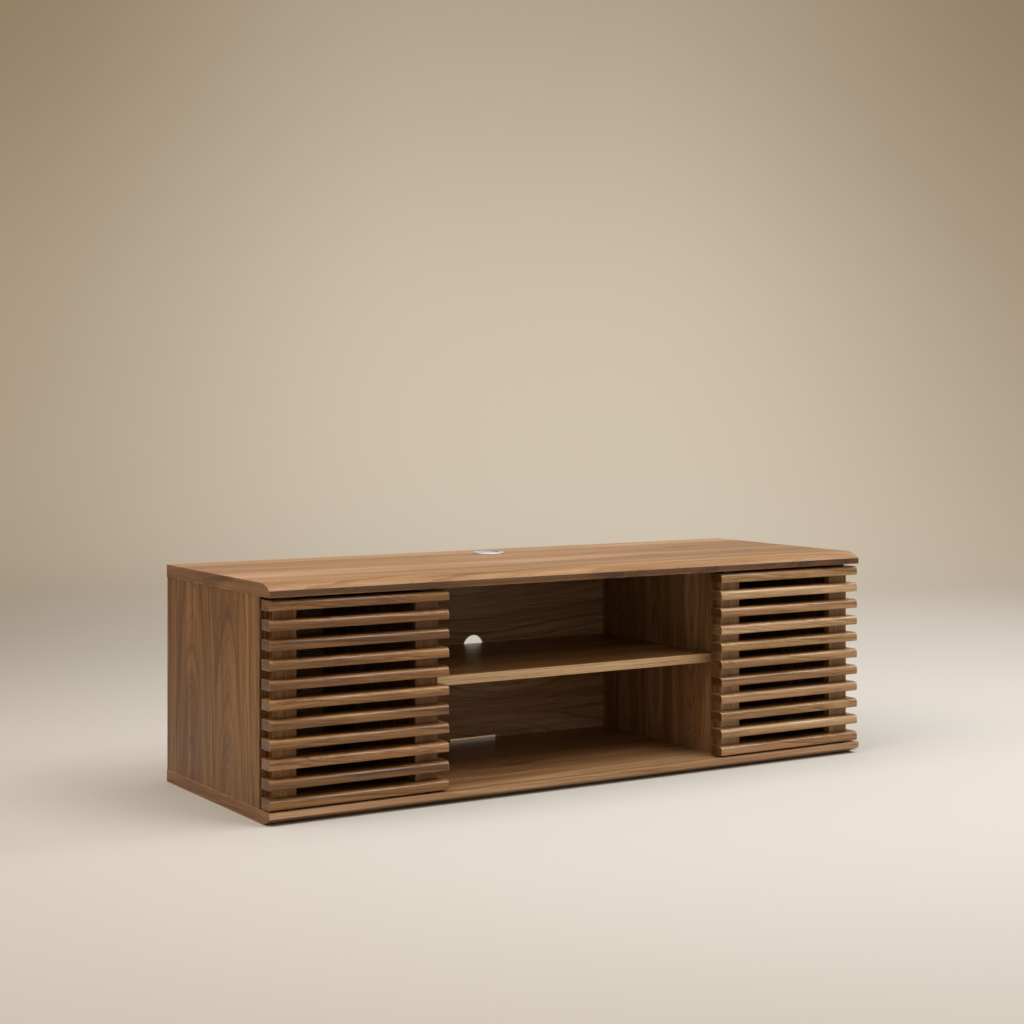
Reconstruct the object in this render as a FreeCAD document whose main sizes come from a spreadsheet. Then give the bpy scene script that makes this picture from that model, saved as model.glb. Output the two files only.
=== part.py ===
import FreeCAD, Part
import math
import os

import Sketcher
from FreeCAD import Vector

# A low media console. X runs left to right, Y front to back, Z up, all in millimetres.
# The origin is on the floor, under the middle of the stand. Every piece is drawn in a frame whose
# Y starts at the stand's front, so its Placement carries it back by half the depth.

SLAT_COUNT = 11
SIDES = {"left": -1, "right": 1}

SIZES = [
    # Whole stand and its panels
    ("width", 1180),
    ("depth", 415),
    ("height", 368),
    ("top_thick", 21),
    ("bottom_thick", 20),
    ("upright_thick", 18),
    ("side_inset", 1),            # side panels stand this far in from the ends of the top
    ("setback", 39),              # fronts of the uprights, behind the front of the top
    ("nose_run", 32),             # rounded front edge of the top and the bottom, front to back
    ("nose_drop", 10.8),          # and how far it falls
    ("bay_width", 580),           # clear width between the dividers
    # Back panel, its grooves and its openings
    ("back_thick", 6),
    ("back_setback", 19),         # back face of the back panel, in from the back of the stand
    ("groove_depth", 5),
    ("cable_hole_radius", 22),
    ("cable_hole_z", 191),
    ("cable_slot_width", 100),
    ("cable_slot_rise", 5),
    # Shelf and its pins
    ("shelf_thick", 16),
    ("shelf_z", 182),             # underside
    ("shelf_front", 50),
    ("shelf_gap", 1),             # at each end
    ("pin_radius", 2.5),
    ("pin_depth", 8),             # inside the divider
    ("pin_reach", 10),            # under the shelf
    ("pin_front", 88),
    ("pin_back", 344),
    # Grommet in the top
    ("grommet_y", 338),
    ("grommet_hole_radius", 25),
    ("flange_radius", 29),
    ("flange_recess", 1),
    ("flange_rise", 2.2),
    ("flange_chamfer", 1.6),
    ("seat_radius", 22),          # where the cap turns
    ("ledge_radius", 20),         # what the cap rests over
    ("ledge_rise", 0.2),
    ("sleeve_wall", 2),
    ("sleeve_drop", 19),
    ("cap_rise", 2.6),
    ("cap_edge", 0.6),
    ("skirt_wall", 1.5),
    ("skirt_drop", 8),
    ("notch_x", 11.5),            # inner edge of the cable notch in the cap's rim
    ("notch_width", 24),
    ("notch_round", 4),
    # Doors
    ("door_inner", 275),          # inner end of a door, from the middle of the stand
    ("door_lift", 3),             # gap under a door
    ("door_height", 319),
    ("door_travel", 272),
    ("slat_length", 313),
    ("slat_height", 16),
    ("slat_front", 2),
    ("slat_depth", 31),
    ("slat_round", 7),            # along the upper front edge
    ("slat_foot_round", 3),       # along the lower front edge
    ("stile_width", 40),
    ("stile_front", 19),
    ("stile_overhang", 12),       # slats reach this far past the stiles
    ("notch_gap", 0.2),
    # Track under the top, with what runs in it
    ("track_y", 26),
    ("track_width", 14),
    ("track_height", 9),
    ("track_roof", 2.4),
    ("track_wall", 1.2),
    ("track_lip", 1.4),
    ("track_slot", 7),
    ("track_length", 1156),
    ("running_gap", 0.3),
    ("glider_length", 30),
    ("glider_foot", 12),
    ("track_screw_pitch", 225),
    # Guide groove in the bottom panel
    ("guide_y", 8.5),
    ("guide_width", 3),
    ("guide_depth", 4),
    ("guide_length", 1154),
    ("guide_pin_radius", 1.2),
    ("guide_pin_drop", 3),
    ("guide_pin_depth", 8),
    # Joinery and fasteners
    ("fixing_front", 55),         # cams and connecting screws, from the front of an upright
    ("fixing_back", 290),
    ("dowel_offset", 32),         # dowels, behind each cam or connecting screw
    ("dowel_radius", 4),
    ("dowel_length", 30),
    ("dowel_depth", 12),          # in the top and in the bottom
    ("hole_gap", 0.1),            # radial, round anything that is pushed or screwed in
    ("cam_radius", 7.5),
    ("cam_depth", 12.5),
    ("cam_below", 24),            # cam centre, below the top of an upright
    ("cam_slot", 1.6),
    ("bolt_radius", 3),
    ("bolt_head_radius", 3.5),
    ("bolt_head", 2.5),
    ("bolt_thread", 11),          # in the top
    ("connector_head_radius", 5),
    ("connector_head", 3.5),
    ("connector_radius", 3.5),
    ("connector_thread_radius", 2.6),
    ("connector_thread", 34),     # in the upright
    ("connector_socket", 4),
    ("screw_head_radius", 3.4),
    ("screw_head", 2),
    ("screw_radius", 1.7),
    ("recess_reach", 1.9),        # cross recess in a screw's head, from its middle
    ("recess_width", 0.9),
    ("recess_depth", 1.3),
    ("slat_screw_bite", 11),      # in the slat
    ("slat_screw_offset", 9),     # from the middle of a stile, towards the middle of the door
    ("track_screw_bite", 10),     # in the top
    ("hanger_bite", 20),          # in the end of a stile
    ("back_screw_bite", 20),      # in the back edge of a divider
]

# Expressions that several pieces share
FRONT_TO_BACK = "size.depth - size.back_setback - size.back_thick"
UNDER_TOP = "size.height - size.top_thick"
CLEAR_HEIGHT = "size.height - size.top_thick - size.bottom_thick"
SIDE_CENTRE = "(size.width / 2 - size.side_inset - size.upright_thick / 2)"
DIVIDER_CENTRE = "(size.bay_width / 2 + size.upright_thick / 2)"
DOOR_CENTRE = "(size.door_inner + size.slat_length / 2)"
STILE_OFFSET = "(size.slat_length / 2 - size.stile_overhang - size.stile_width / 2)"
SLAT_BACK = "size.slat_front + size.slat_depth"
SLAT_SCREW_OFFSET = "(%s - size.slat_screw_offset)" % STILE_OFFSET
CAVITY_WIDTH = "(size.track_width - 2 * size.track_wall)"
UPRIGHTS = ["-" + SIDE_CENTRE, "-" + DIVIDER_CENTRE, DIVIDER_CENTRE, SIDE_CENTRE]
FIXINGS = ["size.setback + size.fixing_front", "size.setback + size.fixing_back"]
DOWELS = [fixing + " + size.dowel_offset" for fixing in FIXINGS]
PLANE_NORMALS = {"XY": "+Z", "XZ": "-Y", "YZ": "+X"}

doc = FreeCAD.newDocument("tv_stand")
sheet = doc.addObject("Spreadsheet::Sheet", "size")
for row, (alias, number) in enumerate(SIZES, start=1):
    sheet.set("A%d" % row, alias)
    sheet.set("B%d" % row, str(number))
    sheet.setAlias("B%d" % row, alias)
doc.recompute()

nodes = []


# ---------------------------------------------------------------- sketches and features

def value(expression):
    """The number that an expression on the sheet stands for."""
    return float(sheet.evalExpression(expression))


def place(piece, x="0", z="0"):
    """Puts a piece in the stand: across and up by expression, and back by half the depth."""
    piece.setExpression("Placement.Base.x", x)
    piece.setExpression("Placement.Base.y", "-size.depth / 2")
    piece.setExpression("Placement.Base.z", z)


def new_body(name, x="0", z="0"):
    body = doc.addObject("PartDesign::Body", name)
    body.Label = name
    place(body, x, z)
    nodes.append(body)
    return body


def new_sketch(body, plane, lift="0"):
    """A sketch on one of the body's own origin planes, moved along +X, +Y or +Z by lift."""
    sketch = body.newObject("Sketcher::SketchObject", body.Name + "_sketch")
    origin_plane = [item for item in body.Origin.OriginFeatures if item.Role == plane + "_Plane"][0]
    sketch.AttachmentSupport = [(origin_plane, "")]
    sketch.MapMode = "FlatFace"
    sign = "-" if PLANE_NORMALS[plane].startswith("-") else ""
    sketch.setExpression("AttachmentOffset.Base.z", "%s(%s)" % (sign, lift))
    return sketch


def bind(sketch, constraint, expression):
    index = sketch.addConstraint(constraint)
    sketch.setExpression("Constraints[%d]" % index, expression)


def locate(sketch, geometry, point, across, up):
    """Holds one point of a sketch at two signed distances from the sketch's origin."""
    for kind, expression in (("DistanceX", across), ("DistanceY", up)):
        bind(sketch, Sketcher.Constraint(kind, -1, 1, geometry, point, value(expression)), expression)


def arc_between(start, end, radius):
    """The arc that bulges to the right of the way from start to end."""
    chord = end - start
    left = Vector(-chord.y, chord.x, 0).normalize()
    centre = (start + end) / 2 + left * math.sqrt(radius ** 2 - (chord.Length / 2) ** 2)
    angles = [math.atan2(spot.y - centre.y, spot.x - centre.x) for spot in (start, end)]
    return Part.ArcOfCircle(Part.Circle(centre, Vector(0, 0, 1), radius), *angles)


def add_outline(sketch, points):
    """A closed outline, anticlockwise. A third item in a point is the radius of the arc it starts."""
    spots = [Vector(value(point[0]), value(point[1]), 0) for point in points]
    edges = []
    for point, start, end in zip(points, spots, spots[1:] + spots[:1]):
        curved = len(point) == 3
        edge = arc_between(start, end, value(point[2])) if curved else Part.LineSegment(start, end)
        edges.append(sketch.addGeometry(edge, False))
    for edge, following in zip(edges, edges[1:] + edges[:1]):
        sketch.addConstraint(Sketcher.Constraint("Coincident", edge, 2, following, 1))
    for edge, point in zip(edges, points):
        locate(sketch, edge, 1, point[0], point[1])
        if len(point) == 3:
            bind(sketch, Sketcher.Constraint("Radius", edge, value(point[2])), point[2])


def add_rectangle(sketch, left, right, low, high):
    add_outline(sketch, [(left, low), (right, low), (right, high), (left, high)])


def add_circle(sketch, across, up, radius):
    centre = Vector(value(across), value(up), 0)
    circle = sketch.addGeometry(Part.Circle(centre, Vector(0, 0, 1), value(radius)), False)
    locate(sketch, circle, 3, across, up)
    bind(sketch, Sketcher.Constraint("Radius", circle, value(radius)), radius)


def add_pad(body, sketch, length):
    """Grows the first solid from a sketch, along +X, +Y or +Z."""
    feature = body.newObject("PartDesign::Pad", body.Name + "_pad")
    feature.Profile = sketch
    feature.Reversed = sketch_normal(sketch).startswith("-")
    feature.setExpression("Length", length)
    return feature


def sketch_normal(sketch):
    return PLANE_NORMALS[sketch.AttachmentSupport[0][0].Role[:2]]


def add_pocket(body, sketch, towards, depth):
    """Cuts a sketch into its body, towards +X, -X, +Y, -Y, +Z or -Z."""
    feature = body.newObject("PartDesign::Pocket", body.Name + "_pocket")
    feature.Profile = sketch
    feature.Reversed = towards == sketch_normal(sketch)
    feature.setExpression("Length", depth)
    return feature


def drill(body, plane, lift, towards, depth, radius, centres):
    """Round holes of one size, side by side."""
    sketch = new_sketch(body, plane, lift)
    for across, up in centres:
        add_circle(sketch, across, up, radius)
    add_pocket(body, sketch, towards, depth)


def route(body, plane, lift, towards, depth, left, right, low, high):
    """One straight-sided groove, notch or slot."""
    sketch = new_sketch(body, plane, lift)
    add_rectangle(sketch, left, right, low, high)
    add_pocket(body, sketch, towards, depth)


def revolve(body, points):
    """A round piece: an outline in X and Z, turned about the body's Z axis."""
    sketch = new_sketch(body, "XZ")
    add_outline(sketch, points)
    feature = body.newObject("PartDesign::Revolution", body.Name + "_revolution")
    feature.Profile = sketch
    feature.ReferenceAxis = (sketch, ["V_Axis"])
    feature.Angle = 360


def cylinder(radius, start, end):
    """A plain solid cylinder between two points, for fasteners."""
    return Part.makeCylinder(radius, (end - start).Length, start, end - start)


def block(left, right, front, back, low, high):
    return Part.makeBox(right - left, back - front, high - low, Vector(left, front, low))


def wood_screw(tip, crown):
    """A plain-shanked screw with a cylindrical head and a cross recess in its crown."""
    length = (crown - tip).Length
    neck = length - value("size.screw_head")
    shank = cylinder(value("size.screw_radius"), Vector(0, 0, 0), Vector(0, 0, neck))
    head = cylinder(value("size.screw_head_radius"), Vector(0, 0, neck), Vector(0, 0, length))
    reach = value("size.recess_reach")
    half = value("size.recess_width") / 2
    floor = length - value("size.recess_depth")
    arms = [
        block(-reach, reach, -half, half, floor, length),
        block(-half, half, -reach, reach, floor, length),
    ]
    screw = shank.fuse(head).removeSplitter().cut(arms)
    screw.Placement = FreeCAD.Placement(tip, FreeCAD.Rotation(Vector(0, 0, 1), crown - tip))
    return screw


def hexagon_prism(across_flats, start, end):
    """A six-sided solid along Z, for a hexagon socket."""
    corner = across_flats / math.sqrt(3)
    turns = [math.radians(60 * step) for step in range(7)]
    ring = [start + Vector(corner * math.cos(turn), corner * math.sin(turn), 0) for turn in turns]
    return Part.Face(Part.makePolygon(ring)).extrude(end - start)


def new_group(name, solids):
    """Identical loose pieces as one node of separate solids, drawn in the stand's front-based frame."""
    group = doc.addObject("Part::Feature", name)
    group.Label = name
    group.Shape = Part.makeCompound(solids)
    place(group)
    nodes.append(group)
    return group


# ---------------------------------------------------------------- carcass

def nose_radius():
    return "(size.nose_run ^ 2 + size.nose_drop ^ 2) / (2 * size.nose_drop)"


def crossings(across, lengthwise):
    return [(x, y) for x in across for y in lengthwise]


def make_top_panel():
    """A board with its upper front edge rounded, grooved and drilled from below."""
    body = new_body("top_panel", z=UNDER_TOP)
    outline = new_sketch(body, "YZ", "-size.width / 2")
    add_outline(outline, [
        ("0", "0"),
        ("size.depth", "0"),
        ("size.depth", "size.top_thick"),
        ("size.nose_run", "size.top_thick", nose_radius()),
        ("0", "size.top_thick - size.nose_drop"),
    ])
    add_pad(body, outline, "size.width")
    grommet = [("0", "size.grommet_y")]
    drill(body, "XY", "0", "+Z", "size.top_thick", "size.grommet_hole_radius", grommet)
    drill(body, "XY", "size.top_thick", "-Z", "size.flange_recess",
          "size.flange_radius + size.hole_gap", grommet)
    route(body, "XY", "0", "+Z", "size.track_height", "-size.track_length / 2", "size.track_length / 2",
          "size.track_y - size.track_width / 2", "size.track_y + size.track_width / 2")
    route_back_groove(body, "0", "+Z")
    drill(body, "XY", "0", "+Z", "size.dowel_depth", "size.dowel_radius + size.hole_gap",
          crossings(UPRIGHTS, DOWELS))
    drill(body, "XY", "0", "+Z", "size.bolt_thread", "size.bolt_radius + size.hole_gap",
          crossings(UPRIGHTS, FIXINGS))
    drill(body, "XY", "size.track_height", "+Z", "size.track_screw_bite",
          "size.screw_radius + size.hole_gap", crossings(track_screw_places(), ["size.track_y"]))


def route_back_groove(body, lift, towards):
    """The groove for the back panel, in the top or the bottom, from side panel to side panel."""
    reach = "(size.width / 2 - size.side_inset - size.upright_thick + size.groove_depth)"
    route(body, "XY", lift, towards, "size.groove_depth", "-" + reach, reach,
          FRONT_TO_BACK, FRONT_TO_BACK + " + size.back_thick")


def track_screw_places():
    return ["%d * size.track_screw_pitch" % step for step in (-2, -1, 1, 2)]


def make_bottom_panel():
    """The same board upside down, standing on the floor."""
    body = new_body("bottom_panel")
    outline = new_sketch(body, "YZ", "-size.width / 2")
    add_outline(outline, [
        ("0", "size.nose_drop", nose_radius()),
        ("size.nose_run", "0"),
        ("size.depth", "0"),
        ("size.depth", "size.bottom_thick"),
        ("0", "size.bottom_thick"),
    ])
    add_pad(body, outline, "size.width")
    route(body, "XY", "size.bottom_thick", "-Z", "size.guide_depth",
          "-size.guide_length / 2", "size.guide_length / 2",
          "size.guide_y - size.guide_width / 2", "size.guide_y + size.guide_width / 2")
    route_back_groove(body, "size.bottom_thick", "-Z")
    drill(body, "XY", "size.bottom_thick", "-Z", "size.dowel_depth", "size.dowel_radius + size.hole_gap",
          crossings(UPRIGHTS, DOWELS))
    drill(body, "XY", "0", "+Z", "size.bottom_thick", "size.connector_radius + size.hole_gap",
          crossings(UPRIGHTS, FIXINGS))
    drill(body, "XY", "0", "+Z", "size.connector_head", "size.connector_head_radius + size.hole_gap",
          crossings(UPRIGHTS, FIXINGS))


def make_upright(name, centre, back, cams_towards):
    """A side panel or divider, with its ends drilled and its cams let into one face."""
    body = new_body(name, x=centre + " - size.upright_thick / 2", z="size.bottom_thick")
    face = new_sketch(body, "YZ")
    add_rectangle(face, "size.setback", back, "0", CLEAR_HEIGHT)
    add_pad(body, face, "size.upright_thick")
    middle = "size.upright_thick / 2"
    dowel_hole = "size.dowel_length - size.dowel_depth + size.hole_gap"
    drill(body, "XY", CLEAR_HEIGHT, "-Z", dowel_hole, "size.dowel_radius + size.hole_gap",
          crossings([middle], DOWELS))
    drill(body, "XY", "0", "+Z", dowel_hole, "size.dowel_radius + size.hole_gap",
          crossings([middle], DOWELS))
    drill(body, "XY", CLEAR_HEIGHT, "-Z", "size.cam_below", "size.bolt_head_radius + size.hole_gap",
          crossings([middle], FIXINGS))
    drill(body, "XY", "0", "+Z", "size.connector_thread + size.hole_gap",
          "size.connector_thread_radius + size.hole_gap", crossings([middle], FIXINGS))
    cam_face = "0" if cams_towards == "-X" else "size.upright_thick"
    into_board = "+X" if cams_towards == "-X" else "-X"
    drill(body, "YZ", cam_face, into_board, "size.cam_depth", "size.cam_radius + size.hole_gap",
          [(fixing, "%s - size.cam_below" % CLEAR_HEIGHT) for fixing in FIXINGS])
    return body


def make_side_panel(name, side):
    """Runs to the back of the stand, with a groove for the back panel."""
    centre = SIDE_CENTRE if side > 0 else "-" + SIDE_CENTRE
    inward = "-X" if side > 0 else "+X"
    body = make_upright(name, centre, "size.depth", cams_towards=inward)
    inner_face = "0" if side > 0 else "size.upright_thick"
    outward = "+X" if side > 0 else "-X"
    route(body, "YZ", inner_face, outward, "size.groove_depth",
          FRONT_TO_BACK, FRONT_TO_BACK + " + size.back_thick", "0", CLEAR_HEIGHT)


def make_divider(name, side):
    """Stops at the back panel, with two blind holes for the shelf pins."""
    centre = DIVIDER_CENTRE if side > 0 else "-" + DIVIDER_CENTRE
    outward = "+X" if side > 0 else "-X"
    body = make_upright(name, centre, FRONT_TO_BACK, cams_towards=outward)
    bay_face = "0" if side > 0 else "size.upright_thick"
    pin_height = "size.shelf_z - size.pin_radius - size.bottom_thick"
    drill(body, "YZ", bay_face, outward, "size.pin_depth", "size.pin_radius + size.hole_gap",
          [("size.pin_front", pin_height), ("size.pin_back", pin_height)])
    drill(body, "XZ", FRONT_TO_BACK, "-Y", "size.back_screw_bite", "size.screw_radius + size.hole_gap",
          [("size.upright_thick / 2", height + " - size.bottom_thick") for height in back_screw_heights()])


def back_screw_heights():
    return ["size.bottom_thick + %s * (%s)" % (share, CLEAR_HEIGHT) for share in (0.2, 0.5, 0.8)]


def make_back_panel():
    """A thin panel held in grooves all round, with a cable hole behind the shelf and a slot at its foot."""
    body = new_body("back_panel")
    reach = "(size.width / 2 - size.side_inset - size.upright_thick + size.groove_depth - size.hole_gap)"
    foot = "size.bottom_thick - size.groove_depth + size.hole_gap"
    face = new_sketch(body, "XZ", FRONT_TO_BACK)
    add_rectangle(face, "-" + reach, reach, foot, UNDER_TOP + " + size.groove_depth - size.hole_gap")
    add_pad(body, face, "size.back_thick")
    drill(body, "XZ", FRONT_TO_BACK, "+Y", "size.back_thick", "size.cable_hole_radius",
          [("0", "size.cable_hole_z")])
    route(body, "XZ", FRONT_TO_BACK, "+Y", "size.back_thick",
          "-size.cable_slot_width / 2", "size.cable_slot_width / 2",
          foot + " - 1", "size.bottom_thick + size.cable_slot_rise")
    drill(body, "XZ", FRONT_TO_BACK, "+Y", "size.back_thick", "size.screw_radius + size.hole_gap",
          crossings(["-" + DIVIDER_CENTRE, DIVIDER_CENTRE], back_screw_heights()))


def make_centre_shelf():
    body = new_body("centre_shelf", z="size.shelf_z")
    outline = new_sketch(body, "XY")
    reach = "(size.bay_width / 2 - size.shelf_gap)"
    add_rectangle(outline, "-" + reach, reach, "size.shelf_front", FRONT_TO_BACK)
    add_pad(body, outline, "size.shelf_thick")


# ---------------------------------------------------------------- grommet

def make_grommet_sleeve():
    """A flange let into the top, a ledge for the cap, and a tube through the board."""
    body = new_body("grommet_sleeve", z="size.height")
    centre_on_grommet(body)
    tube_outer = "size.grommet_hole_radius - size.running_gap"
    tube_inner = tube_outer + " - size.sleeve_wall"
    revolve(body, [
        (tube_inner, "-size.sleeve_drop"),
        (tube_outer, "-size.sleeve_drop"),
        (tube_outer, "-size.flange_recess"),
        ("size.flange_radius", "-size.flange_recess"),
        ("size.flange_radius", "size.flange_rise - size.flange_chamfer"),
        ("size.flange_radius - size.flange_chamfer", "size.flange_rise"),
        ("size.seat_radius", "size.flange_rise"),
        ("size.seat_radius", "size.ledge_rise"),
        ("size.ledge_radius", "size.ledge_rise"),
        ("size.ledge_radius", "-size.flange_recess"),
        (tube_inner, "-size.flange_recess"),
    ])


def make_grommet_cap():
    """A disc with a skirt that turns in the sleeve, with a notch in its rim for cables."""
    body = new_body("grommet_cap", z="size.height")
    centre_on_grommet(body)
    rim = "size.seat_radius - size.running_gap"
    underside = "size.ledge_rise + size.hole_gap"
    skirt_outer = "size.ledge_radius - size.running_gap"
    skirt_inner = skirt_outer + " - size.skirt_wall"
    revolve(body, [
        ("0", underside),
        (skirt_inner, underside),
        (skirt_inner, "-size.skirt_drop"),
        (skirt_outer, "-size.skirt_drop"),
        (skirt_outer, underside),
        (rim, underside),
        (rim, "size.cap_rise - size.cap_edge"),
        (rim + " - size.cap_edge", "size.cap_rise"),
        ("0", "size.cap_rise"),
    ])
    notch = new_sketch(body, "XY", "size.cap_rise")
    half = "size.notch_width / 2"
    add_outline(notch, [
        ("size.notch_x + size.notch_round", "-" + half),
        ("size.seat_radius", "-" + half),
        ("size.seat_radius", half),
        ("size.notch_x + size.notch_round", half, "size.notch_round"),
        ("size.notch_x", half + " - size.notch_round"),
        ("size.notch_x", "-" + half + " + size.notch_round", "size.notch_round"),
    ])
    add_pocket(body, notch, "-Z", "size.cap_rise + size.skirt_drop")


def centre_on_grommet(body):
    body.setExpression("Placement.Base.y", "size.grommet_y - size.depth / 2")


# ---------------------------------------------------------------- track and stops

def make_door_track():
    """An aluminium channel, open below, let into the top for its whole length."""
    body = new_body("door_track", z=UNDER_TOP)
    section = new_sketch(body, "YZ", "-size.track_length / 2")
    front = "size.track_y - size.track_width / 2"
    back = "size.track_y + size.track_width / 2"
    ceiling = "size.track_height - size.track_roof"
    slot_front = "size.track_y - size.track_slot / 2"
    slot_back = "size.track_y + size.track_slot / 2"
    add_outline(section, [
        (slot_back, "0"),
        (back, "0"),
        (back, "size.track_height"),
        (front, "size.track_height"),
        (front, "0"),
        (slot_front, "0"),
        (slot_front, "size.track_lip"),
        (front + " + size.track_wall", "size.track_lip"),
        (front + " + size.track_wall", ceiling),
        (back + " - size.track_wall", ceiling),
        (back + " - size.track_wall", "size.track_lip"),
        (slot_back, "size.track_lip"),
    ])
    add_pad(body, section, "size.track_length")
    places = crossings(track_screw_places(), ["size.track_y"])
    drill(body, "XY", ceiling, "+Z", "size.track_roof", "size.screw_radius + size.hole_gap", places)
    drill(body, "XY", ceiling, "+Z", "size.screw_head", "size.screw_head_radius + size.hole_gap", places)


def make_track_stops():
    """Blocks in the channel that end each door's travel: one at each end and one in the middle."""
    half_width = value(CAVITY_WIDTH) / 2
    floor = value(UNDER_TOP + " + size.track_lip")
    ceiling = value(UNDER_TOP + " + size.track_height - size.track_roof")
    outer_glider = value(DOOR_CENTRE + " + " + STILE_OFFSET)
    inner_glider = value(DOOR_CENTRE + " - " + STILE_OFFSET)
    reach = value("size.glider_length / 2 + size.running_gap")
    end_start = outer_glider + reach
    end_finish = value("size.track_length / 2")
    middle = inner_glider - reach - value("size.door_travel")
    front = value("size.track_y") - half_width
    back = value("size.track_y") + half_width
    new_group("track_stops", [
        block(-end_finish, -end_start, front, back, floor, ceiling),
        block(-middle, middle, front, back, floor, ceiling),
        block(end_start, end_finish, front, back, floor, ceiling),
    ])


# ---------------------------------------------------------------- doors

def slat_floor(number):
    """Height of a slat's underside, numbered from the bottom."""
    pitch = "(size.door_height - size.slat_height) / %d" % (SLAT_COUNT - 1)
    return "size.bottom_thick + size.door_lift + %d * %s" % (number - 1, pitch)


def door_centre(side):
    return DOOR_CENTRE if side > 0 else "-" + DOOR_CENTRE


def make_slat(name, side, number):
    """One slat, rounded along its two front edges and notched behind to fit over both stiles."""
    body = new_body(name, x=door_centre(side), z=slat_floor(number))
    section = new_sketch(body, "YZ", "-size.slat_length / 2")
    add_outline(section, [
        ("size.slat_front + size.slat_foot_round", "0"),
        (SLAT_BACK, "0"),
        (SLAT_BACK, "size.slat_height"),
        ("size.slat_front + size.slat_round", "size.slat_height", "size.slat_round"),
        ("size.slat_front", "size.slat_height - size.slat_round"),
        ("size.slat_front", "size.slat_foot_round", "size.slat_foot_round"),
    ])
    add_pad(body, section, "size.slat_length")
    half_notch = "(size.stile_width / 2 + size.notch_gap)"
    for centre in ("-" + STILE_OFFSET, STILE_OFFSET):
        route(body, "XY", "0", "+Z", "size.slat_height", centre + " - " + half_notch,
              centre + " + " + half_notch, "size.stile_front", SLAT_BACK + " + 1")
    drill(body, "XZ", "size.stile_front", "-Y", "size.slat_screw_bite + size.hole_gap",
          "size.screw_radius + size.hole_gap",
          crossings(["-" + SLAT_SCREW_OFFSET, SLAT_SCREW_OFFSET], ["size.slat_height / 2"]))
    if number == 1:
        drill(body, "XY", "0", "+Z", "size.guide_pin_depth + size.hole_gap",
              "size.guide_pin_radius + size.hole_gap",
              crossings(["-" + STILE_OFFSET, STILE_OFFSET], ["size.guide_y"]))


def make_stile(name, side, end):
    """An upright strip behind the slats, drilled for their screws and for the hanger at its top."""
    offset = ("+" if end > 0 else "-") + STILE_OFFSET
    body = new_body(name, x=door_centre(side) + offset, z="size.bottom_thick + size.door_lift")
    half = "size.stile_width / 2"
    outline = new_sketch(body, "XY")
    add_rectangle(outline, "-" + half, half, "size.stile_front", SLAT_BACK)
    add_pad(body, outline, "size.door_height")
    pitch = "(size.door_height - size.slat_height) / %d" % (SLAT_COUNT - 1)
    heights = ["size.slat_height / 2 + %d * %s" % (step, pitch) for step in range(SLAT_COUNT)]
    screw_x = "size.slat_screw_offset" if end < 0 else "-size.slat_screw_offset"
    places = crossings([screw_x], heights)
    drill(body, "XZ", "size.stile_front", "+Y", SLAT_BACK + " - size.stile_front",
          "size.screw_radius + size.hole_gap", places)
    drill(body, "XZ", SLAT_BACK, "-Y", "size.screw_head + size.hole_gap",
          "size.screw_head_radius + size.hole_gap", places)
    drill(body, "XY", "size.door_height", "-Z", "size.hanger_bite + size.hole_gap",
          "size.screw_radius + size.hole_gap", [("0", "size.track_y")])


def across_door(side, offset):
    """The two places at one distance from the middle of a door."""
    return [value(door_centre(side) + sign + offset) for sign in (" - ", " + ")]


def make_slat_screws(name, side):
    """Screws driven from behind each stile into every slat, with their heads sunk flush."""
    back = value(SLAT_BACK)
    tip = value("size.stile_front - size.slat_screw_bite")
    screws = []
    for x in across_door(side, SLAT_SCREW_OFFSET):
        for number in range(1, SLAT_COUNT + 1):
            z = value(slat_floor(number) + " + size.slat_height / 2")
            screws.append(wood_screw(Vector(x, tip, z), Vector(x, back, z)))
    new_group(name, screws)


def make_gliders(name, side):
    """Nylon sliders: a block inside the track, a neck in its slot and a foot on top of the stile."""
    gap = value("size.running_gap")
    door_top = value("size.bottom_thick + size.door_lift + size.door_height")
    under_top = value(UNDER_TOP)
    block_low = under_top + value("size.track_lip") + gap
    block_high = under_top + value("size.track_height - size.track_roof") - gap
    half = {
        "block": value(CAVITY_WIDTH) / 2 - gap,
        "neck": value("size.track_slot") / 2 - gap,
        "foot": value("size.glider_foot") / 2,
    }
    reach = value("size.glider_length / 2")
    y = value("size.track_y")
    gliders = []
    for x in across_door(side, STILE_OFFSET):
        runner = block(x - reach, x + reach, y - half["block"], y + half["block"], block_low, block_high)
        neck = block(x - reach, x + reach, y - half["neck"], y + half["neck"], door_top, block_low)
        foot = block(x - reach, x + reach, y - half["foot"], y + half["foot"], door_top, under_top - 2 * gap)
        hole = cylinder(value("size.screw_radius + size.hole_gap"),
                        Vector(x, y, door_top), Vector(x, y, block_high))
        sink = cylinder(value("size.screw_head_radius + size.hole_gap"),
                        Vector(x, y, block_high - value("size.screw_head")), Vector(x, y, block_high))
        gliders.append(runner.fuse([neck, foot]).cut([hole, sink]).removeSplitter())
    new_group(name, gliders)


def make_hanger_screws(name, side):
    """Each holds a glider down on the end of its stile."""
    glider_top = value(UNDER_TOP + " + size.track_height - size.track_roof - size.running_gap")
    tip = value("size.bottom_thick + size.door_lift + size.door_height - size.hanger_bite")
    y = value("size.track_y")
    new_group(name, [wood_screw(Vector(x, y, tip), Vector(x, y, glider_top))
                     for x in across_door(side, STILE_OFFSET)])


def make_guide_pins(name, side):
    """Steel pins under the lowest slat that keep the door's foot in the guide groove."""
    door_floor = value("size.bottom_thick + size.door_lift")
    low = value("size.bottom_thick - size.guide_pin_drop")
    high = door_floor + value("size.guide_pin_depth")
    y = value("size.guide_y")
    radius = value("size.guide_pin_radius")
    new_group(name, [cylinder(radius, Vector(x, y, low), Vector(x, y, high))
                     for x in across_door(side, STILE_OFFSET)])


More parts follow.
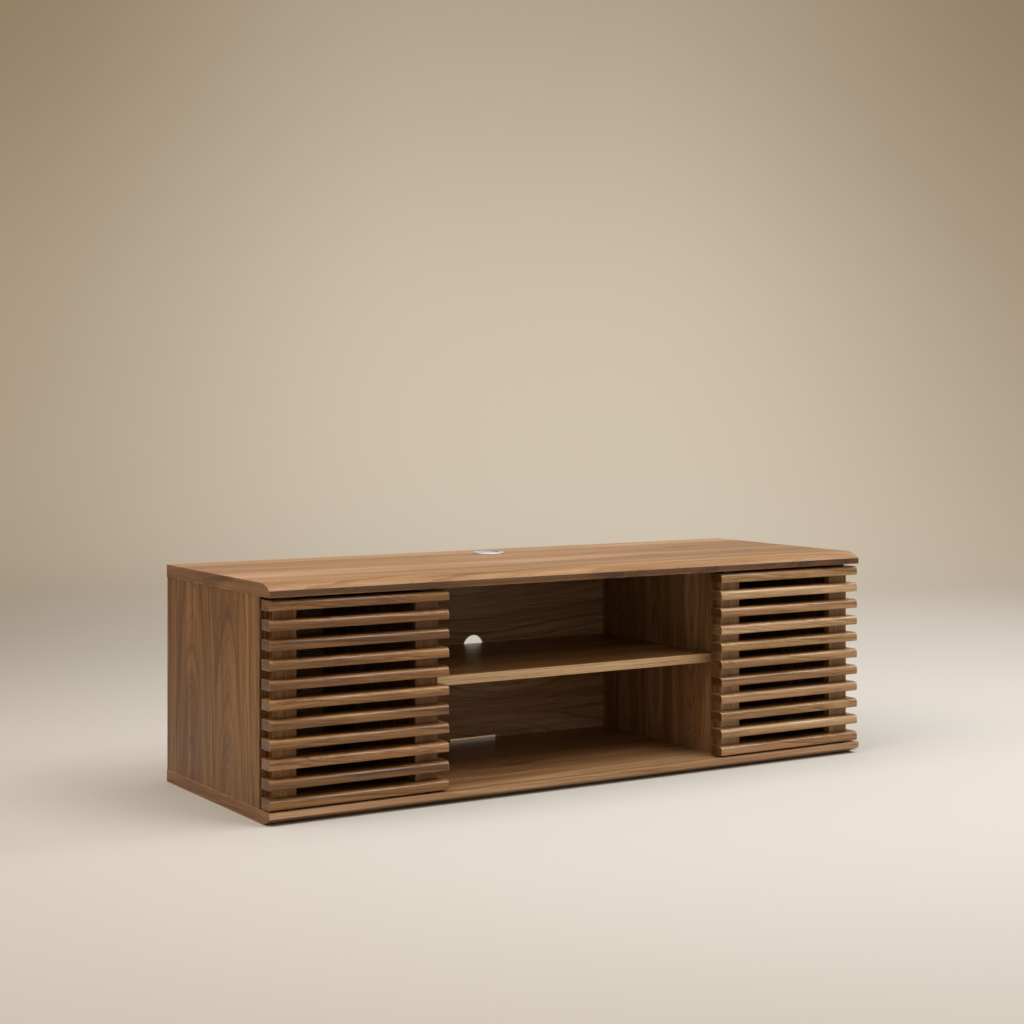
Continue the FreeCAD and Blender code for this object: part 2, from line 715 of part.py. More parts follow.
def make_door(hand, side):
    for number in range(1, SLAT_COUNT + 1):
        make_slat("%s_door_slat_%02d" % (hand, number), side, number)
    make_stile(hand + "_door_outer_stile", side, end=side)
    make_stile(hand + "_door_inner_stile", side, end=-side)
    make_slat_screws(hand + "_door_slat_screws", side)
    make_gliders(hand + "_door_gliders", side)
    make_hanger_screws(hand + "_door_hanger_screws", side)
    make_guide_pins(hand + "_door_guide_pins", side)


# ---------------------------------------------------------------- joinery and fasteners

def upright_centres():
    return [value(expression) for expression in UPRIGHTS]


def make_carcass_dowels():
    """Beech dowels across every joint between an upright and the top or the bottom."""
    radius = value("size.dowel_radius")
    length = value("size.dowel_length")
    depth = value("size.dowel_depth")
    starts = [value("size.bottom_thick") - depth, value(UNDER_TOP) + depth - length]
    dowels = []
    for x in upright_centres():
        for y in [value(expression) for expression in DOWELS]:
            dowels += [cylinder(radius, Vector(x, y, z), Vector(x, y, z + length)) for z in starts]
    new_group("carcass_dowels", dowels)


def make_cam_bolts():
    """Screwed up into the top, each hangs down to a cam in an upright."""
    joint = value(UNDER_TOP)
    tip = joint + value("size.bolt_thread")
    foot = joint - value("size.cam_below")
    bolts = []
    for x in upright_centres():
        for y in [value(expression) for expression in FIXINGS]:
            shaft = cylinder(value("size.bolt_radius"), Vector(x, y, foot), Vector(x, y, tip))
            head_top = foot + value("size.bolt_head")
            head = cylinder(value("size.bolt_head_radius"), Vector(x, y, foot), Vector(x, y, head_top))
            bolts.append(shaft.fuse(head).removeSplitter())
    new_group("cam_bolts", bolts)


def make_cam_locks():
    """Round cams in the faces of the uprights that look into the side bays, with a cross slot."""
    z = value(UNDER_TOP + " - size.cam_below")
    radius = value("size.cam_radius")
    depth = value("size.cam_depth")
    half_board = value("size.upright_thick / 2")
    channel_radius = value("size.bolt_head_radius + size.hole_gap")
    half_slot = value("size.cam_slot") / 2
    slot_depth = value("size.cam_slot")
    slot_reach = radius * 0.6
    cams = []
    for x, side in zip(upright_centres(), (1, -1, 1, -1)):
        face = x + side * half_board
        seat = face - side * depth
        for y in [value(expression) for expression in FIXINGS]:
            cam = cylinder(radius, Vector(seat, y, z), Vector(face, y, z))
            channel = cylinder(channel_radius, Vector(x, y, z), Vector(x, y, z + radius))
            slot_start, slot_end = sorted((face - side * slot_depth, face + side))
            upright_slot = block(slot_start, slot_end, y - half_slot, y + half_slot,
                                 z - slot_reach, z + slot_reach)
            level_slot = block(slot_start, slot_end, y - slot_reach, y + slot_reach,
                               z - half_slot, z + half_slot)
            cams.append(cam.cut([channel, upright_slot, level_slot]))
    new_group("cam_locks", cams)


def make_connecting_screws():
    """Driven up through the bottom into every upright, with a hexagon socket in each sunk head."""
    head = value("size.connector_head")
    joint = value("size.bottom_thick")
    tip = joint + value("size.connector_thread")
    screws = []
    for x in upright_centres():
        for y in [value(expression) for expression in FIXINGS]:
            foot = Vector(x, y, 0.5)
            neck = Vector(x, y, head)
            solid = cylinder(value("size.connector_head_radius"), foot, neck)
            solid = solid.fuse([
                cylinder(value("size.connector_radius"), neck, Vector(x, y, joint)),
                cylinder(value("size.connector_thread_radius"), Vector(x, y, joint), Vector(x, y, tip)),
            ])
            socket = hexagon_prism(value("size.connector_socket"), foot, neck)
            screws.append(solid.cut(socket).removeSplitter())
    new_group("connecting_screws", screws)


def make_back_panel_screws():
    """Pan-head screws through the back panel into the dividers."""
    crown = value(FRONT_TO_BACK + " + size.back_thick + size.screw_head")
    tip = value(FRONT_TO_BACK + " - size.back_screw_bite")
    screws = []
    for x in (-value(DIVIDER_CENTRE), value(DIVIDER_CENTRE)):
        for z in [value(expression) for expression in back_screw_heights()]:
            screws.append(wood_screw(Vector(x, tip, z), Vector(x, crown, z)))
    new_group("back_panel_screws", screws)


def make_track_screws():
    """Cheese-head screws from inside the track up into the top."""
    ceiling = value(UNDER_TOP + " + size.track_height - size.track_roof")
    tip = value(UNDER_TOP + " + size.track_height + size.track_screw_bite")
    y = value("size.track_y")
    places = [value(expression) for expression in track_screw_places()]
    new_group("track_screws", [wood_screw(Vector(x, y, tip), Vector(x, y, ceiling)) for x in places])


def make_shelf_pins():
    """Short steel pins in the dividers that the shelf lies on."""
    radius = value("size.pin_radius")
    z = value("size.shelf_z - size.pin_radius")
    wall = value("size.bay_width / 2")
    pins = []
    for side in SIDES.values():
        outer = side * (wall + value("size.pin_depth"))
        inner = side * (wall - value("size.pin_reach"))
        for y in (value("size.pin_front"), value("size.pin_back")):
            pins.append(cylinder(radius, Vector(outer, y, z), Vector(inner, y, z)))
    new_group("shelf_pins", pins)


# ---------------------------------------------------------------- assembly, checks and files

def check_document():
    """Stops if any object failed, any cut removed nothing, or any piece isn't a valid solid."""
    for item in doc.Objects:
        if "Invalid" in item.State or "Error" in item.State:
            raise RuntimeError("%s failed to build" % item.Name)
        if item.TypeId == "PartDesign::Pocket":
            before = item.BaseFeature.Shape.Volume
            if item.Shape.Volume > before - 0.5:
                raise RuntimeError("%s cut nothing" % item.Name)
    for node in nodes:
        if node.Shape.isNull() or not node.Shape.isValid() or not node.Shape.Solids:
            raise RuntimeError("%s isn't a valid solid" % node.Label)


make_top_panel()
make_bottom_panel()
for hand, side in SIDES.items():
    make_side_panel(hand + "_side_panel", side)
    make_divider(hand + "_divider", side)
make_back_panel()
make_centre_shelf()
make_shelf_pins()
make_grommet_sleeve()
make_grommet_cap()
make_door_track()
make_track_screws()
make_track_stops()
make_carcass_dowels()
make_cam_bolts()
make_cam_locks()
make_connecting_screws()
make_back_panel_screws()
for hand, side in SIDES.items():
    make_door(hand, side)

doc.recompute()
check_document()
os.makedirs("parts", exist_ok=True)
for node in nodes:
    node.Shape.exportStep("parts/%s.step" % node.Label)
    print(node.Label, len(node.Shape.Solids), round(node.Shape.Volume / 1000, 2))
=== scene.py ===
import math

import bpy
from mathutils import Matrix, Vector


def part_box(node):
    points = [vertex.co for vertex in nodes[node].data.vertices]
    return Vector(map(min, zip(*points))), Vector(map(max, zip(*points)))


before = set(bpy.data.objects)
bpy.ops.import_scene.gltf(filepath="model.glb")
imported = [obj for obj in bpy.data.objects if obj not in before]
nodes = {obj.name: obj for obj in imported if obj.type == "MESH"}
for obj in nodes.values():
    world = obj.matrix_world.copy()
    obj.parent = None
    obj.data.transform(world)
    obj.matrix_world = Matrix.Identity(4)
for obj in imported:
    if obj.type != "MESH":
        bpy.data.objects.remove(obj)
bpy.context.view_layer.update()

# Camera: a level view from the front left, with the lens shifted down to the stand
CAMERA_AT = Vector((-1.8125, -2.8810, 0.6471))
CAMERA_YAW = 31.75
CAMERA_LENS = 67.75
CAMERA_SHIFT = -0.1094

# The floor is this far below the stand's underside, so that the two never share a plane
FLOOR_GAP = 0.0002

# Eased edges, in metres: boards and stiles, then slats, and how near two points are to be one
BOARD_ARRIS = 0.0007
SLAT_ARRIS = 0.0008
SAME_POINT = 0.00002
SHARP_EDGE = math.radians(35)

# How far each whole seed moves a piece's grain along, across and through it, in metres
SEED_ALONG = 0.37
SEED_ACROSS = 0.83
SEED_THROUGH = 1.91

SLAT_TONES = [0.50, 0.60, 0.44, 0.64, 0.55, 0.46, 0.62, 0.48, 0.57, 0.43, 0.52]
HANDS = ("left", "right")

# Wood, from its darkest latewood to its palest streaks, as linear colours
WALNUT = [
    (0.00, (0.058, 0.023, 0.007)),
    (0.30, (0.140, 0.062, 0.020)),
    (0.55, (0.262, 0.131, 0.050)),
    (0.80, (0.402, 0.244, 0.138)),
    (1.00, (0.545, 0.368, 0.232)),
]
BEECH = [
    (0.00, (0.380, 0.240, 0.130)),
    (0.50, (0.560, 0.390, 0.230)),
    (1.00, (0.680, 0.510, 0.330)),
]
PORE = (0.035, 0.015, 0.006, 1.0)
WORN = (0.460, 0.270, 0.140, 1.0)

# Multiplied into wood: two slow drifts of hue, and the darker and paler specks of end grain
ROSY = (1.02, 0.985, 0.99, 1.0)
GOLDEN = (0.99, 0.995, 0.89, 1.0)
END_DARK = (0.48, 0.48, 0.50, 1.0)
END_PALE = (0.78, 0.80, 0.86, 1.0)

# Black of unplated plastic, which on the grommet's walls is also painted shade in its notch
BLACK_PLASTIC_AND_SHADE = (0.012, 0.012, 0.013, 1.0)


# ---------------------------------------------------------------- shader graphs

class Shader:
    """One material's node graph. Inputs may be numbers, tuples or the output of another node."""

    def __init__(self, name):
        self.material = bpy.data.materials.new(name)
        self.material.use_nodes = True
        self.tree = self.material.node_tree
        self.tree.nodes.clear()
        self.bsdf = self.add("ShaderNodeBsdfPrincipled")
        output = self.add("ShaderNodeOutputMaterial")
        self.tree.links.new(self.bsdf.outputs[0], output.inputs["Surface"])
        self.coordinates = self.add("ShaderNodeTexCoord").outputs

    def add(self, kind, settings=None, inputs=None):
        node = self.tree.nodes.new(kind)
        for key, setting in (settings or {}).items():
            setattr(node, key, setting)
        for key, source in (inputs or {}).items():
            self.feed(node.inputs[key], source)
        return node

    def feed(self, socket, source):
        if isinstance(source, bpy.types.NodeSocket):
            self.tree.links.new(source, socket)
        else:
            socket.default_value = source

    def finish(self, **inputs):
        """Feeds the surface's own sockets, named with underscores for spaces."""
        for key, source in inputs.items():
            self.feed(self.bsdf.inputs[key.replace("_", " ")], source)

    def math(self, operation, first, second=0.0):
        return self.add("ShaderNodeMath", {"operation": operation}, {0: first, 1: second}).outputs[0]

    def total(self, *sources):
        result = sources[0]
        for source in sources[1:]:
            result = self.math("ADD", result, source)
        return result

    def times(self, *sources):
        result = sources[0]
        for source in sources[1:]:
            result = self.math("MULTIPLY", result, source)
        return result

    def centred(self, source, amount):
        """A 0..1 signal as a swing of -amount/2 to amount/2."""
        return self.times(self.math("SUBTRACT", source, 0.5), amount)

    def spread(self, source, low, high, start=0.0, end=1.0):
        """Takes low..high smoothly to start..end."""
        settings = {"interpolation_type": "SMOOTHSTEP"}
        inputs = {"Value": source, "From Min": low, "From Max": high, "To Min": start, "To Max": end}
        return self.add("ShaderNodeMapRange", settings, inputs).outputs["Result"]

    def vector(self, x, y, z):
        return self.add("ShaderNodeCombineXYZ", None, {0: x, 1: y, 2: z}).outputs[0]

    def split(self, source):
        return self.add("ShaderNodeSeparateXYZ", None, {0: source}).outputs

    def noise(self, vector, detail=3.0, roughness=0.55):
        inputs = {"Vector": vector, "Scale": 1.0, "Detail": detail, "Roughness": roughness}
        return self.add("ShaderNodeTexNoise", None, inputs).outputs["Fac"]

    def line_noise(self, distance, detail=3.0, roughness=0.6):
        inputs = {"W": distance, "Scale": 1.0, "Detail": detail, "Roughness": roughness}
        return self.add("ShaderNodeTexNoise", {"noise_dimensions": "1D"}, inputs).outputs["Fac"]

    def ramp(self, source, stops):
        node = self.add("ShaderNodeValToRGB", None, {"Fac": source})
        elements = node.color_ramp.elements
        while len(elements) < len(stops):
            elements.new(0.5)
        for element, (position, colour) in zip(elements, stops):
            element.position = position
            element.color = (*colour, 1.0)
        return node.outputs["Color"]

    def mix(self, factor, first, second, blend="MIX"):
        settings = {"data_type": "RGBA", "blend_type": blend}
        return self.add("ShaderNodeMix", settings, {0: factor, 6: first, 7: second}).outputs[2]

    def mix_vector(self, factor, first, second):
        inputs = {0: factor, 4: first, 5: second}
        return self.add("ShaderNodeMix", {"data_type": "VECTOR"}, inputs).outputs[1]

    def bump(self, height, distance, strength=1.0):
        inputs = {"Height": height, "Distance": distance, "Strength": strength}
        self.finish(Normal=self.add("ShaderNodeBump", None, inputs).outputs[0])


def edge_nearness(shader, low, high, reach):
    """1 on the sharp edges of a board that fills low..high, falling to 0 at reach from them."""
    gaps = []
    for source, start, end in zip(shader.split(shader.coordinates["Object"]), low, high):
        from_start = shader.math("SUBTRACT", source, start)
        to_end = shader.math("SUBTRACT", end, source)
        gaps.append(shader.math("MINIMUM", from_start, to_end))
    first, second, third = gaps
    larger = shader.math("MAXIMUM", first, second)
    smaller = shader.math("MINIMUM", first, second)
    middle = shader.math("MAXIMUM", smaller, shader.math("MINIMUM", larger, third))
    return shader.spread(middle, 0.0, reach, 1.0, 0.0)


def make_wood(name, grain, box, seed, tone=0.5, leaf=0.085, figure=0.60, streaks=0.60, ring=0.006,
              breadth=1.0, taper=0.05, lean=0.0, front=0.0, tip=0.0, ends="solid", palette=WALNUT,
              tint=(1.0, 1.0, 1.0), roughness=0.34, gloss=0.24):
    """Wood with its grain along one axis, in veneer leaves or, where leaf is 0, as one solid piece.

    ring is the usual distance between growth lines, breadth widens the colour streaks, taper is how
    fast a leaf's cut leaves the pith, which closes the arches, and lean is the slope of the grain.
    front and tip are how much paler the front and the ends are, or darker where they are negative; a
    positive front is the paler tone of an edge band, a negative front is painted shade on a front face, and
    a negative tip on door slats is painted shade on their ends.
    ends is "banded" for a board with edge bands or "solid" for end grain, and tint multiplies the
    palette's colours.
    """
    shader = Shader(name)
    low, high = box
    axes = {"X": (0, 1, 2), "Y": (1, 0, 2), "Z": (2, 1, 0)}[grain]
    place = shader.split(shader.coordinates["Object"])
    normal = shader.split(shader.coordinates["Normal"])
    end_face = shader.spread(shader.math("ABSOLUTE", normal[axes[0]]), 0.6, 0.9)
    aligned = shader.vector(*[place[axis] for axis in axes])
    if ends == "banded":
        edge_face = shader.spread(shader.math("ABSOLUTE", normal[axes[1]]), 0.80, 0.84)
        band = shader.vector(place[axes[0]], place[axes[2]], place[axes[1]])
        aligned = shader.mix_vector(edge_face, aligned, band)
        turned = shader.vector(place[axes[1]], place[axes[2]], place[axes[0]])
        aligned = shader.mix_vector(end_face, aligned, turned)
    middle = [0.5 * (low[axis] + high[axis]) for axis in axes]
    along, across, through = shader.split(aligned)
    rise = shader.times(shader.math("SUBTRACT", along, middle[0]), lean)
    along = shader.total(along, SEED_ALONG * seed)
    across = shader.total(across, SEED_ACROSS * seed, rise)
    through = shader.total(through, SEED_THROUGH * seed)

    def stretched(lengthwise, sideways, **options):
        """Noise drawn out along the grain, in waves per metre each way."""
        return shader.noise(shader.vector(shader.times(along, lengthwise), shader.times(across, sideways),
                                          shader.times(through, sideways)), **options)

    # The pith that a leaf or a piece is cut from: how far aside, how deep, and where it starts
    if leaf:
        leaves = shader.add("ShaderNodeTexVoronoi", {"voronoi_dimensions": "1D", "feature": "F1"},
                            {"W": across, "Scale": 1.0 / leaf, "Randomness": 0.9})
        draws = shader.add("ShaderNodeSeparateColor", None, {0: leaves.outputs["Color"]})
        cast, depth, start = draws.outputs
        aside = shader.total(shader.math("SUBTRACT", across, leaves.outputs["W"]),
                             shader.centred(cast, 0.5 * leaf))
    else:
        cast, depth, start = [(seed * step) % 1.0 for step in (0.381, 0.617, 0.271)]
        aside = shader.math("SUBTRACT", across, middle[1] + SEED_ACROSS * seed + 0.03 * (cast - 0.5))
        through = shader.math("SUBTRACT", through, middle[2] + SEED_THROUGH * seed)

    # Growth lines: a tapering log cut lengthwise, so that flat cuts show arches
    wander = shader.centred(stretched(2.6, 8.0), 0.040)
    ripple = shader.centred(stretched(11.0, 42.0), 0.007)
    local = shader.math("SUBTRACT", along, SEED_ALONG * seed + middle[0])
    climb = shader.times(shader.total(local, shader.centred(start, 0.4)), taper)
    if leaf:
        sunk = shader.total(shader.math("ABSOLUTE", shader.total(climb, shader.centred(depth, 0.06))), 0.012)
    else:
        sunk = shader.total(climb, 0.02 + 0.03 * depth, through)
    aside = shader.total(aside, wander)
    radius = shader.math("SQRT", shader.total(shader.times(aside, aside), shader.times(sunk, sunk)))
    years = shader.math("DIVIDE", shader.total(radius, ripple), ring)
    growth = shader.line_noise(shader.times(years, 0.45))
    season = shader.math("FRACT", shader.total(years, shader.centred(shader.line_noise(years), 2.0)))
    latewood = shader.times(shader.spread(season, 0.30, 0.93), shader.spread(season, 0.95, 1.0, 1.0, 0.0),
                            shader.spread(growth, 0.35, 0.65, 1.0, 0.10))

    # Fibres, colour streaks and slow clouds of tone
    fibre = stretched(7.0, 480.0, detail=4.0)
    streak = stretched(1.9 / breadth, 62.0 / breadth, detail=4.0, roughness=0.65)
    dash = shader.spread(stretched(9.0, 300.0, detail=3.0), 0.55, 0.72)
    cloud = stretched(1.3, 9.0, detail=2.0)
    shade = shader.total(
        tone,
        shader.centred(growth, figure),
        shader.times(latewood, -0.38 * figure),
        shader.times(dash, -0.16),
        shader.centred(fibre, 0.50),
        shader.centred(streak, streaks),
        shader.centred(cloud, 0.50),
        shader.centred(cast, 0.16) if leaf else 0.0,
        # Front faces and ends paler or darker by front and tip: where negative, painted shade on the top's
        # front face and on the door slats' ends
        shader.times(shader.spread(normal[1], -0.80, -0.55, 1.0, 0.0), front),
        shader.times(end_face, tip),
    )
    stops = [(stop, tuple(part * share for part, share in zip(base, tint))) for stop, base in palette]
    colour = shader.ramp(shade, stops)
    warmth = shader.total(stretched(0.9, 13.0), shader.centred(start, 0.30))
    hue = shader.mix(shader.spread(warmth, 0.36, 0.64), ROSY, GOLDEN)
    colour = shader.mix(1.0, colour, hue, "MULTIPLY")

    # Open pores, in short dashes along the grain
    pore = shader.spread(stretched(55.0, 1500.0, detail=2.0), 0.60, 0.72)
    colour = shader.mix(shader.times(pore, 0.40), colour, PORE)
    if ends == "solid":
        speckle = shader.noise(shader.vector(0.0, shader.times(across, 800.0), shader.times(through, 800.0)))
        greyer = shader.mix(shader.spread(speckle, 0.35, 0.70), END_DARK, END_PALE)
        end_colour = shader.mix(1.0, colour, greyer, "MULTIPLY")
        colour = shader.mix(end_face, colour, end_colour)

    # Edges rubbed a little paler, unevenly
    rub = shader.times(edge_nearness(shader, low, high, 0.0020),
                       shader.spread(stretched(25.0, 25.0, detail=2.0), 0.30, 0.70))
    colour = shader.mix(shader.times(rub, 0.35), colour, WORN)

    rough = shader.total(roughness, shader.centred(cloud, 0.16), shader.times(pore, 0.16))
    shader.finish(Base_Color=colour, Roughness=rough, Specular_IOR_Level=gloss)
    relief = shader.math("SUBTRACT", shader.times(fibre, 0.35), pore)
    shader.bump(relief, 0.00015, 0.7)
    return shader.material


def make_metal(name, colour, roughness, brush=None):
    """Bare metal with fine scratches, drawn along one axis if it was extruded. Returns the Shader."""
    shader = Shader(name)
    place = shader.split(shader.coordinates["Object"])
    scales = [9000.0 if brush and axis != brush else 60.0 if brush else 1500.0 for axis in "XYZ"]
    lines = shader.noise(shader.vector(*[shader.times(part, scale) for part, scale in zip(place, scales)]))
    smudge = shader.noise(shader.vector(*[shader.times(part, 45.0) for part in place]))
    dull = tuple(0.72 * channel for channel in colour)
    tint = shader.mix(shader.spread(smudge, 0.35, 0.70), (*dull, 1.0), (*colour, 1.0))
    rough = shader.total(roughness, shader.centred(lines, 0.16), shader.centred(smudge, 0.12))
    shader.finish(Base_Color=tint, Roughness=rough, Metallic=1.0)
    shader.bump(lines, 0.00003, 0.6)
    return shader


def make_moulded(name, colour, roughness):
    """Moulded plastic or rubber with a fine matt texture and slight dust."""
    shader = Shader(name)
    place = shader.split(shader.coordinates["Object"])
    grit = shader.noise(shader.vector(*[shader.times(part, 2600.0) for part in place]))
    dust = shader.noise(shader.vector(*[shader.times(part, 70.0) for part in place]))
    pale = tuple(min(1.0, 1.15 * channel + 0.01) for channel in colour)
    tint = shader.mix(shader.spread(dust, 0.4, 0.7), (*colour, 1.0), (*pale, 1.0))
    shader.finish(Base_Color=tint, Roughness=shader.total(roughness, shader.centred(grit, 0.15)))
    shader.bump(grit, 0.00004, 0.7)
    return shader.material


def make_grommet_finish(name, crown):
    """Satin plating on what shows from above, over black plastic on every wall and underside, which also
    serves as painted shade in the notch and the hollows.
    """
    shader = make_metal(name, (0.50, 0.53, 0.58), 0.60)
    height = shader.split(shader.coordinates["Object"])[2]
    upward = shader.split(shader.coordinates["Normal"])[2]
    # Plated only on faces that look up near the crown; the black elsewhere is unplated plastic and also
    # painted shade in the notch
    plated = shader.times(shader.spread(upward, 0.25, 0.45),
                          shader.spread(height, crown - 0.0022, crown - 0.0016))
    metal_tint = shader.bsdf.inputs["Base Color"].links[0].from_socket
    shader.finish(Base_Color=shader.mix(plated, BLACK_PLASTIC_AND_SHADE, metal_tint),
                  Metallic=shader.times(plated, 0.7))
    return shader.material


# ---------------------------------------------------------------- the stand's own pieces

def soften(node, width):
    """Rounds a board's arrises very slightly, as sanding does."""
    item = nodes[node]
    weld = item.modifiers.new("weld", "WELD")
    weld.merge_threshold = SAME_POINT
    bevel = item.modifiers.new("arris", "BEVEL")
    bevel.width = width
    bevel.segments = 2
    bevel.limit_method = "ANGLE"
    bevel.angle_limit = SHARP_EDGE
    bevel.use_clamp_overlap = True
    bevel.harden_normals = False


def dress(node, material):
    """Gives a CAD node its material, in every slot."""
    item = nodes[node]
    item.data.materials.clear()
    item.data.materials.append(material)


def dress_boards():
    """Veneered boards: each one's grain, seed and look."""
    upright = dict(ring=0.006, taper=0.12)
    boards = [
        # The top panel's negative front is painted shade: its front face is darkened as if dim under light
        # from above
        ("top_panel", "X", 17, dict(tone=0.61, leaf=0.140, ring=0.009, breadth=2.2, front=-0.28,
                                    tip=-0.16, tint=(0.97, 1.0, 1.12), roughness=0.38, gloss=0.42)),
        ("bottom_panel", "X", 2, dict(tone=0.66, leaf=0.140, ring=0.008, breadth=2.0, front=0.20,
                                      tip=-0.14)),
        ("centre_shelf", "X", 3, dict(tone=0.57, leaf=0.140, ring=0.009, breadth=2.0, front=0.35,
                                      roughness=0.32)),
        # The back panel's high tone is painted light: paler to make up for the dimness inside the bays
        ("back_panel", "X", 4, dict(tone=0.78, leaf=0.170, ring=0.006, taper=0.12)),
        ("left_side_panel", "Z", 5, dict(tone=0.42, leaf=0.150, **upright)),
        ("right_side_panel", "Z", 6, dict(tone=0.42, leaf=0.150, **upright)),
        ("left_divider", "Z", 7, dict(tone=0.48, leaf=0.120, **upright)),
        ("right_divider", "Z", 8, dict(tone=0.60, leaf=0.120, **upright)),
    ]
    for node, grain, seed, look in boards:
        dress(node, make_wood(node, grain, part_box(node), seed, ends="banded", **look))


def dress_doors():
    """Solid slats and stiles: for each door, its painted lighting (the right door paler where light falls
    brighter, the left darker as painted shade), its tint and its ends' tone (painted shade on the right
    door's slat ends).
    """
    # Painted light and shade: the right door is paler and the left darker as the light falls; -0.22 darkens
    # the right door's slat ends as painted shade
    doors = [(-0.07, (1.0, 0.96, 0.78), 0.0), (0.15, (1.0, 1.02, 0.95), -0.22)]
    for side, (painted_lighting, tint, tip) in enumerate(doors):
        hand = HANDS[side]
        for number in range(1, len(SLAT_TONES) + 1):
            node = "%s_door_slat_%02d" % (hand, number)
            seed = 20 + number + 13 * side
            tone = SLAT_TONES[(number + 4 * side) % len(SLAT_TONES)] + painted_lighting
            lean = 0.06 * math.sin(2.4 * seed)
            dress(node, make_wood(node, "X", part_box(node), seed, tone=tone, leaf=0.0, figure=0.85,
                                  streaks=0.60, ring=0.0045, lean=lean, tip=tip, tint=tint,
                                  roughness=0.30, gloss=0.50))
        for place, end in enumerate(("outer", "inner")):
            node = "%s_door_%s_stile" % (hand, end)
            dress(node, make_wood(node, "Z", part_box(node), 60 + 2 * side + place, tone=0.53 + painted_lighting,
                                  leaf=0.0, figure=0.55, streaks=0.45, ring=0.005, tint=tint))


def dress_fittings():
    """Metal, plastic, rubber and dowels."""
    steel = make_metal("plated_steel", (0.62, 0.62, 0.61), 0.34).material
    black_steel = make_metal("black_steel", (0.030, 0.030, 0.032), 0.50).material
    zinc = make_metal("cast_zinc", (0.52, 0.53, 0.55), 0.46).material
    aluminium = make_metal("mill_aluminium", (0.66, 0.67, 0.69), 0.38, brush="X").material
    nylon = make_moulded("black_nylon", (0.020, 0.020, 0.021), 0.45)
    rubber = make_moulded("black_rubber", (0.018, 0.018, 0.019), 0.70)
    beech = make_wood("beech", "Z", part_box("carcass_dowels"), 90, palette=BEECH, leaf=0.0, figure=0.1)
    plated = make_grommet_finish("satin_plating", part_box("grommet_sleeve")[1][2])
    finishes = {
        "shelf_pins": steel, "track_screws": steel, "cam_bolts": steel, "connecting_screws": steel,
        "back_panel_screws": steel, "cam_locks": zinc, "grommet_sleeve": plated, "grommet_cap": plated,
        "door_track": aluminium, "track_stops": rubber, "carcass_dowels": beech,
    }
    for hand in HANDS:
        for piece in ("slat_screws", "hanger_screws"):
            finishes["%s_door_%s" % (hand, piece)] = steel
        finishes[hand + "_door_guide_pins"] = black_steel
        finishes[hand + "_door_gliders"] = nylon
    for node, finish in finishes.items():
        dress(node, finish)


def soften_wood():
    for node in ("top_panel", "bottom_panel", "left_side_panel", "right_side_panel", "left_divider",
                 "right_divider", "centre_shelf"):
        soften(node, BOARD_ARRIS)
    for hand in HANDS:
        for number in range(1, len(SLAT_TONES) + 1):
            soften("%s_door_slat_%02d" % (hand, number), SLAT_ARRIS)
        for end in ("outer", "inner"):
            soften("%s_door_%s_stile" % (hand, end), BOARD_ARRIS)


# ---------------------------------------------------------------- studio

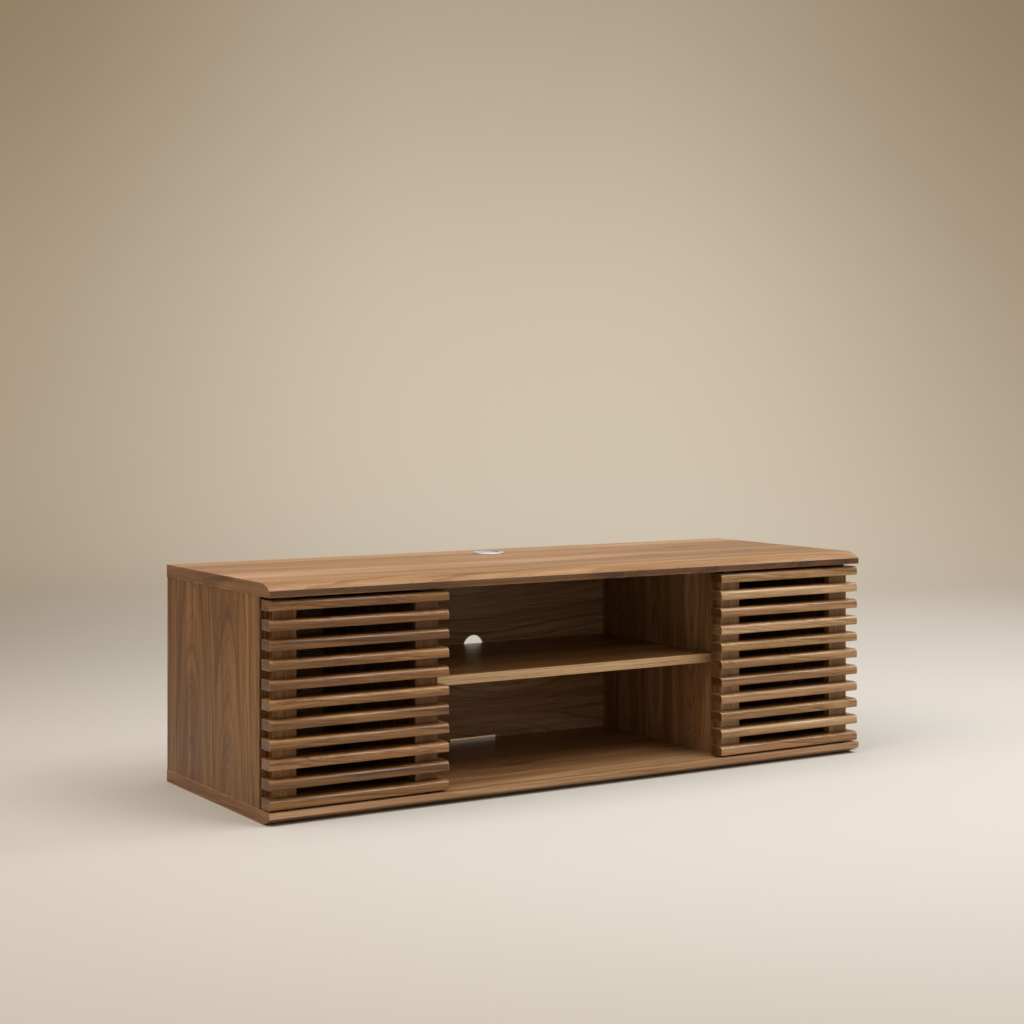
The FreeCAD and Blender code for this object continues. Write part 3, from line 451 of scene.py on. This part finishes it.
def make_stage():
    """A pale floor that curves up into a backdrop behind the stand, with painted falloff of light: the paper
    darkens away from the middle and upwards, and the floor darkens away from a painted pool of light near
    the stand.
    """
    floor_front = -6.0
    floor_back = 3.2
    curve = 2.2
    top = 6.0
    steps = 16
    outline = [(floor_front, 0.0)]
    for step in range(steps + 1):
        turn = math.pi / 2 * step / steps
        outline.append((floor_back + curve * math.sin(turn), curve * (1 - math.cos(turn))))
    outline.append((floor_back + curve, top))
    half_width = 9.0
    points = [(side * half_width, y, z) for y, z in outline for side in (-1, 1)]
    faces = [(2 * i, 2 * i + 1, 2 * i + 3, 2 * i + 2) for i in range(len(outline) - 1)]
    mesh = bpy.data.meshes.new("backdrop")
    mesh.from_pydata(points, [], faces)
    mesh.polygons.foreach_set("use_smooth", [True] * len(mesh.polygons))
    backdrop = bpy.data.objects.new("backdrop", mesh)
    backdrop.rotation_euler = (0, 0, -math.radians(CAMERA_YAW))
    backdrop.location.z = -FLOOR_GAP
    bpy.context.scene.collection.objects.link(backdrop)
    shader = Shader("backdrop_paper")
    x, y, z = shader.split(shader.coordinates["Object"])
    wall = shader.spread(y, 1.2, floor_back + curve)
    aside = shader.math("ABSOLUTE", shader.math("SUBTRACT", x, 0.04))
    # Painted falloff of light: the paper darkens away from the middle and with height
    painted_falloff = shader.total(shader.spread(aside, 0.4, 2.6), shader.times(shader.spread(z, 0.9, 2.9), 0.6))
    paper = shader.mix(shader.times(painted_falloff, 0.62), (0.86, 0.81, 0.71, 1.0), (0.52, 0.41, 0.295, 1.0))
    # Painted pool of light: the floor is palest near the stand and darkens with distance from it
    beside = shader.math("SUBTRACT", x, 0.5)
    nearer = shader.math("MINIMUM", y, 0.0)
    reach = shader.math("SQRT", shader.total(shader.times(beside, beside), shader.times(nearer, nearer)))
    floor = shader.mix(shader.spread(reach, 0.4, 2.4), (0.482, 0.470, 0.452, 1.0),
                       (0.355, 0.331, 0.296, 1.0))
    shader.finish(Base_Color=shader.mix(wall, floor, paper), Roughness=0.85, Specular_IOR_Level=0.2)
    mesh.materials.append(shader.material)


def add_area(name, at, target, size, energy, colour):
    """A rectangular light in watts, turned from at to target."""
    light = bpy.data.lights.new(name, "AREA")
    light.shape = "RECTANGLE"
    light.size, light.size_y = size
    light.energy = energy
    light.color = colour
    lamp = bpy.data.objects.new(name, light)
    lamp.location = at
    lamp.rotation_euler = (Vector(target) - Vector(at)).to_track_quat("-Z", "Y").to_euler()
    bpy.context.scene.collection.objects.link(lamp)


def light_studio():
    add_area("key", (1.2, -1.9, 3.0), (0.1, 0.0, 0.1), (2.0, 1.6), 61, (1.0, 0.99, 0.97))
    add_area("side", (3.0, -0.5, 2.5), (0.5, -0.2, 0.2), (1.3, 1.3), 52, (1.0, 0.99, 0.96))
    add_area("overhead", (0.0, -0.1, 3.2), (0.0, 0.0, 0.0), (3.2, 2.4), 51, (1.0, 0.98, 0.96))
    add_area("fill", (-2.2, -0.2, 2.5), (-0.8, 0.0, 0.0), (2.0, 1.6), 52, (1.0, 0.88, 0.74))
    world = bpy.data.worlds.new("studio")
    world.use_nodes = True
    background = world.node_tree.nodes["Background"]
    background.inputs["Color"].default_value = (1.0, 0.88, 0.74, 1.0)
    background.inputs["Strength"].default_value = 0.44
    bpy.context.scene.world = world


def add_camera():
    data = bpy.data.cameras.new("camera")
    data.lens = CAMERA_LENS
    data.shift_y = CAMERA_SHIFT
    camera = bpy.data.objects.new("camera", data)
    camera.location = CAMERA_AT
    camera.rotation_euler = (math.pi / 2, 0, -math.radians(CAMERA_YAW))
    bpy.context.scene.collection.objects.link(camera)
    bpy.context.scene.camera = camera


add_camera()
make_stage()
light_studio()
dress_boards()
dress_doors()
dress_fittings()
soften_wood()
bpy.context.scene.view_settings.view_transform = "Standard"
